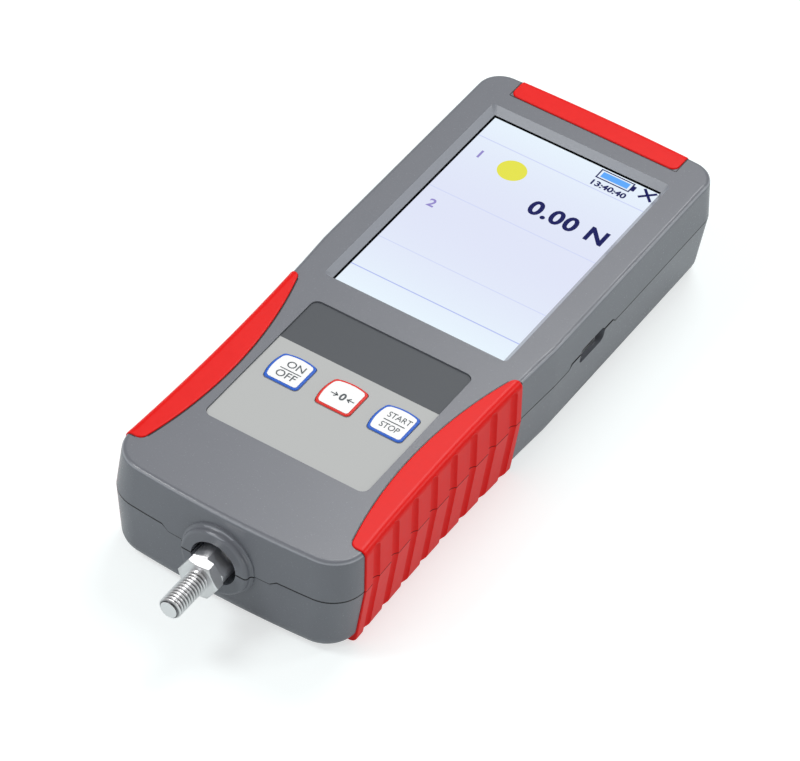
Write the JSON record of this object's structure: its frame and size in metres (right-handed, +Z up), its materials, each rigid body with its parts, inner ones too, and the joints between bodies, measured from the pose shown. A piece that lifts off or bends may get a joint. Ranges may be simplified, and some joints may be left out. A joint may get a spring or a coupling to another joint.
{
  "type": "force gauge",
  "caption": "Handheld digital force gauge with a waisted housing, finger grips down both sides, a touch display, a foil keypad and a threaded load stud with lock nut",
  "frame": {"origin": "centre of the flat rear face, midway along the housing", "axes": "+Z up out of the display, -Y along the load stud, +X to the right seen from the display with the stud towards the viewer"},
  "size_m": [0.0704, 0.2007, 0.0317],
  "materials": {
    "grey_shell": "fine textured moulding",
    "red_grip": "satin soft moulding",
    "foil_print": "printed satin foil in two greys",
    "key_print": "printed satin key with a coloured border",
    "dome_steel": "spring sheet",
    "board_green": "solder resist",
    "panel_glass": "clear",
    "black_foam": "foam",
    "lit_display": "lit screen picture",
    "black_plastic": "moulded",
    "bright_steel": "turned and bright",
    "screw_steel": "plated",
    "cell_aluminium": "milled",
    "film_amber": "thin film",
    "battery_sleeve": "shrink sleeve"
  },
  "bodies": {
    "housing": {"battery_flex": "film_amber", "battery_foam": "black_foam", "battery_pack": "battery_sleeve", "board_screws": "screw_steel", "buzzer": "black_plastic", "cell_flex": "film_amber", "cell_screw": "screw_steel", "contact_tongue": "black_plastic", "data_receptacle": "bright_steel", "display_carrier": "black_plastic", "display_gasket": "black_foam", "display_module": "lit_display", "dome_on_off": "dome_steel", "dome_start_stop": "dome_steel", "dome_zero": "dome_steel", "end_band": "red_grip", "frame_screws": "screw_steel", "front_shell": "grey_shell", "grip_left_lower": "red_grip", "grip_left_upper": "red_grip", "grip_right_lower": "red_grip", "grip_right_upper": "red_grip", "housing_screws": "screw_steel", "keypad_board": "board_green", "keypad_flex": "film_amber", "keypad_foil": "foil_print", "keypad_screws": "screw_steel", "load_cell": "cell_aluminium", "main_board": "board_green", "mounting_frame": "cell_aluminium", "rear_shell": "grey_shell", "strain_gauges": "film_amber", "touch_panel": "panel_glass"},
    "load_stud_train": {"load_shaft": "bright_steel", "threaded_stud": "bright_steel"},
    "locking_nut": {"lock_nut": "bright_steel"},
    "button_on_off": {"key_on_off": "key_print"},
    "button_zero": {"key_zero": "key_print"},
    "button_start_stop": {"key_start_stop": "key_print"}
  },
  "joints": [
    {"name": "press_on_off", "type": "slide", "parent": "housing", "child": "button_on_off", "axis": [0, 0, -1], "range_m": [0, 0.0003], "stiffness_N_per_m": 4000, "deforming": ["dome_on_off"]},
    {"name": "press_zero", "type": "slide", "parent": "housing", "child": "button_zero", "axis": [0, 0, -1], "range_m": [0, 0.0003], "stiffness_N_per_m": 4000, "deforming": ["dome_zero"]},
    {"name": "press_start_stop", "type": "slide", "parent": "housing", "child": "button_start_stop", "axis": [0, 0, -1], "range_m": [0, 0.0003], "stiffness_N_per_m": 4000, "deforming": ["dome_start_stop"]},
    {"name": "load_travel", "type": "slide", "parent": "housing", "child": "load_stud_train", "axis": [0, -1, 0], "range_m": [-0.00025, 0.00025], "stiffness_N_per_m": 20000},
    {"name": "nut_turn", "type": "hinge", "parent": "load_stud_train", "child": "locking_nut", "pos_m": [0, -0.0971, 0.017], "axis": [0, -1, 0], "continuous": true}
  ]
}
